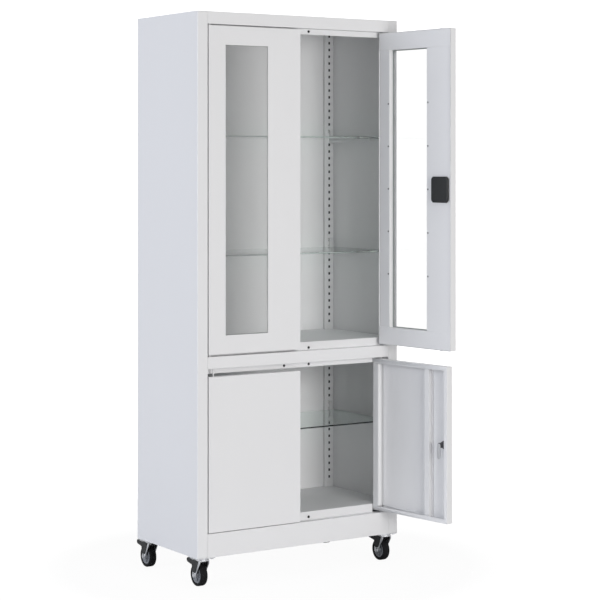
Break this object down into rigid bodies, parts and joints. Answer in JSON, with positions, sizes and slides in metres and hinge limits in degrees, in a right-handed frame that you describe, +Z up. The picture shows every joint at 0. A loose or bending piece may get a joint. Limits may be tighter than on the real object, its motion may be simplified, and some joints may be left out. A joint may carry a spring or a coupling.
{
  "type": "glass door medical cabinet",
  "caption": "Tall steel cabinet on braked swivel castors, with framed glass doors above folded steel doors and glass shelves on hooked brackets.",
  "frame": {"origin": "on the floor, under the middle of the case", "axes": "+Z up, +X to the right and +Y to the back for someone who stands in front of the doors"},
  "size_m": [0.8158, 0.8019, 1.9],
  "materials": {
    "powder_coat": "satin light grey powder coat",
    "glass": "clear float glass",
    "gasket": "matt grey-green rubber",
    "zinc": "bright zinc plate",
    "black_plastic": "fine-grained black plastic",
    "tyre": "matt black rubber",
    "grey_plastic": "moulded grey plastic"
  },
  "bodies": {
    "carcass": {"left_side_panel": "powder_coat", "right_side_panel": "powder_coat", "back_panel": "powder_coat", "roof_panel": "powder_coat", "middle_deck": "powder_coat", "bottom_deck": "powder_coat", "left_upright": "powder_coat", "right_upright": "powder_coat", "lower_shelf": "glass", "middle_shelf": "glass", "upper_shelf": "glass", "lower_shelf_left_bracket": "powder_coat", "lower_shelf_right_bracket": "powder_coat", "middle_shelf_left_bracket": "powder_coat", "middle_shelf_right_bracket": "powder_coat", "upper_shelf_left_bracket": "powder_coat", "upper_shelf_right_bracket": "powder_coat", "upper_left_hinge_rod": "powder_coat", "upper_right_hinge_rod": "powder_coat", "lower_left_hinge_rod": "powder_coat", "lower_right_hinge_rod": "powder_coat", "front_left_castor_plate": "zinc", "front_right_castor_plate": "zinc", "rear_left_castor_plate": "zinc", "rear_right_castor_plate": "zinc"},
    "upper_left_door": {"upper_left_door_skin": "powder_coat", "upper_left_door_inner_frame": "powder_coat", "upper_left_door_glass": "glass", "upper_left_door_gasket": "gasket"},
    "upper_right_door": {"upper_right_door_skin": "powder_coat", "upper_right_door_inner_frame": "powder_coat", "upper_right_door_glass": "glass", "upper_right_door_gasket": "gasket", "lock_cover": "black_plastic"},
    "lock_turn": {"lock_handle": "black_plastic", "lock_cam": "zinc"},
    "upper_bolt": {"lock_upper_rod": "zinc"},
    "lower_bolt": {"lock_lower_rod": "zinc"},
    "lower_left_door": {"lower_left_door_pan": "powder_coat", "lower_left_door_stiffener": "powder_coat"},
    "lower_right_door": {"lower_right_door_pan": "powder_coat", "lower_right_door_stiffener": "powder_coat", "key_lock_barrel": "zinc"},
    "key_turn": {"key_lock_cam": "zinc"},
    "front_left_swivel": {"front_left_castor_fork": "zinc"},
    "front_right_swivel": {"front_right_castor_fork": "zinc"},
    "rear_left_swivel": {"rear_left_castor_fork": "zinc"},
    "rear_right_swivel": {"rear_right_castor_fork": "zinc"},
    "front_left_wheel": {"front_left_wheel_core": "grey_plastic", "front_left_wheel_tyre": "tyre"},
    "front_right_wheel": {"front_right_wheel_core": "grey_plastic", "front_right_wheel_tyre": "tyre"},
    "rear_left_wheel": {"rear_left_wheel_core": "grey_plastic", "rear_left_wheel_tyre": "tyre"},
    "rear_right_wheel": {"rear_right_wheel_core": "grey_plastic", "rear_right_wheel_tyre": "tyre"},
    "front_left_pedal": {"front_left_brake_pedal": "black_plastic"},
    "front_right_pedal": {"front_right_brake_pedal": "black_plastic"},
    "rear_left_pedal": {"rear_left_brake_pedal": "black_plastic"},
    "rear_right_pedal": {"rear_right_brake_pedal": "black_plastic"}
  },
  "joints": [
    {"name": "upper_left_hinge", "type": "hinge", "parent": "carcass", "child": "upper_left_door", "pos_m": [-0.3545, -0.1995, 0], "axis": [0, 0, -1], "range_deg": [0, 105]},
    {"name": "upper_right_hinge", "type": "hinge", "parent": "carcass", "child": "upper_right_door", "pos_m": [0.3545, -0.1995, 0], "axis": [0, 0, 1], "range_deg": [-96, 9]},
    {"name": "lower_left_hinge", "type": "hinge", "parent": "carcass", "child": "lower_left_door", "pos_m": [-0.3405, -0.1995, 0], "axis": [0, 0, -1], "range_deg": [0, 105]},
    {"name": "lower_right_hinge", "type": "hinge", "parent": "carcass", "child": "lower_right_door", "pos_m": [0.3405, -0.1995, 0], "axis": [0, 0, 1], "range_deg": [-98, 7]},
    {"name": "lock_handle_turn", "type": "hinge", "parent": "upper_right_door", "child": "lock_turn", "pos_m": [0.38513, -0.4909, 1.31], "axis": [-0.9945, -0.1045, 0], "range_deg": [0, 90]},
    {"name": "upper_bolt_slide", "type": "slide", "parent": "upper_right_door", "child": "upper_bolt", "axis": [0, 0, 1], "range_m": [0, 0.012]},
    {"name": "lower_bolt_slide", "type": "slide", "parent": "upper_right_door", "child": "lower_bolt", "axis": [0, 0, -1], "range_m": [0, 0.012]},
    {"name": "key_turn", "type": "hinge", "parent": "lower_right_door", "child": "key_turn", "pos_m": [0.38267, -0.49955, 0.447], "axis": [-0.9903, -0.1392, 0], "range_deg": [0, 90]},
    {"name": "front_left_swivel", "type": "hinge", "parent": "carcass", "child": "front_left_swivel", "pos_m": [-0.37, -0.1755, 0.095], "axis": [0, 0, 1], "continuous": true},
    {"name": "front_right_swivel", "type": "hinge", "parent": "carcass", "child": "front_right_swivel", "pos_m": [0.37, -0.1755, 0.095], "axis": [0, 0, 1], "continuous": true},
    {"name": "rear_left_swivel", "type": "hinge", "parent": "carcass", "child": "rear_left_swivel", "pos_m": [-0.37, 0.1755, 0.095], "axis": [0, 0, 1], "continuous": true},
    {"name": "rear_right_swivel", "type": "hinge", "parent": "carcass", "child": "rear_right_swivel", "pos_m": [0.37, 0.1755, 0.095], "axis": [0, 0, 1], "continuous": true},
    {"name": "front_left_roll", "type": "hinge", "parent": "front_left_swivel", "child": "front_left_wheel", "pos_m": [-0.37, -0.1575, 0.03726], "axis": [1, 0, 0], "continuous": true},
    {"name": "front_right_roll", "type": "hinge", "parent": "front_right_swivel", "child": "front_right_wheel", "pos_m": [0.37, -0.1575, 0.03726], "axis": [1, 0, 0], "continuous": true},
    {"name": "rear_left_roll", "type": "hinge", "parent": "rear_left_swivel", "child": "rear_left_wheel", "pos_m": [-0.37, 0.1935, 0.03726], "axis": [1, 0, 0], "continuous": true},
    {"name": "rear_right_roll", "type": "hinge", "parent": "rear_right_swivel", "child": "rear_right_wheel", "pos_m": [0.37, 0.1935, 0.03726], "axis": [1, 0, 0], "continuous": true},
    {"name": "front_left_brake", "type": "hinge", "parent": "front_left_swivel", "child": "front_left_pedal", "pos_m": [-0.37, -0.1485, 0.079], "axis": [1, 0, 0], "range_deg": [0, 10]},
    {"name": "front_right_brake", "type": "hinge", "parent": "front_right_swivel", "child": "front_right_pedal", "pos_m": [0.37, -0.1485, 0.079], "axis": [1, 0, 0], "range_deg": [0, 10]},
    {"name": "rear_left_brake", "type": "hinge", "parent": "rear_left_swivel", "child": "rear_left_pedal", "pos_m": [-0.37, 0.2025, 0.079], "axis": [1, 0, 0], "range_deg": [0, 10]},
    {"name": "rear_right_brake", "type": "hinge", "parent": "rear_right_swivel", "child": "rear_right_pedal", "pos_m": [0.37, 0.2025, 0.079], "axis": [1, 0, 0], "range_deg": [0, 10]}
  ],
  "couplings": [
    {"joint": "lock_handle_turn", "follows": "upper_bolt_slide", "rad_per_m": 130.9},
    {"joint": "lower_bolt_slide", "follows": "upper_bolt_slide", "ratio": 1}
  ]
}
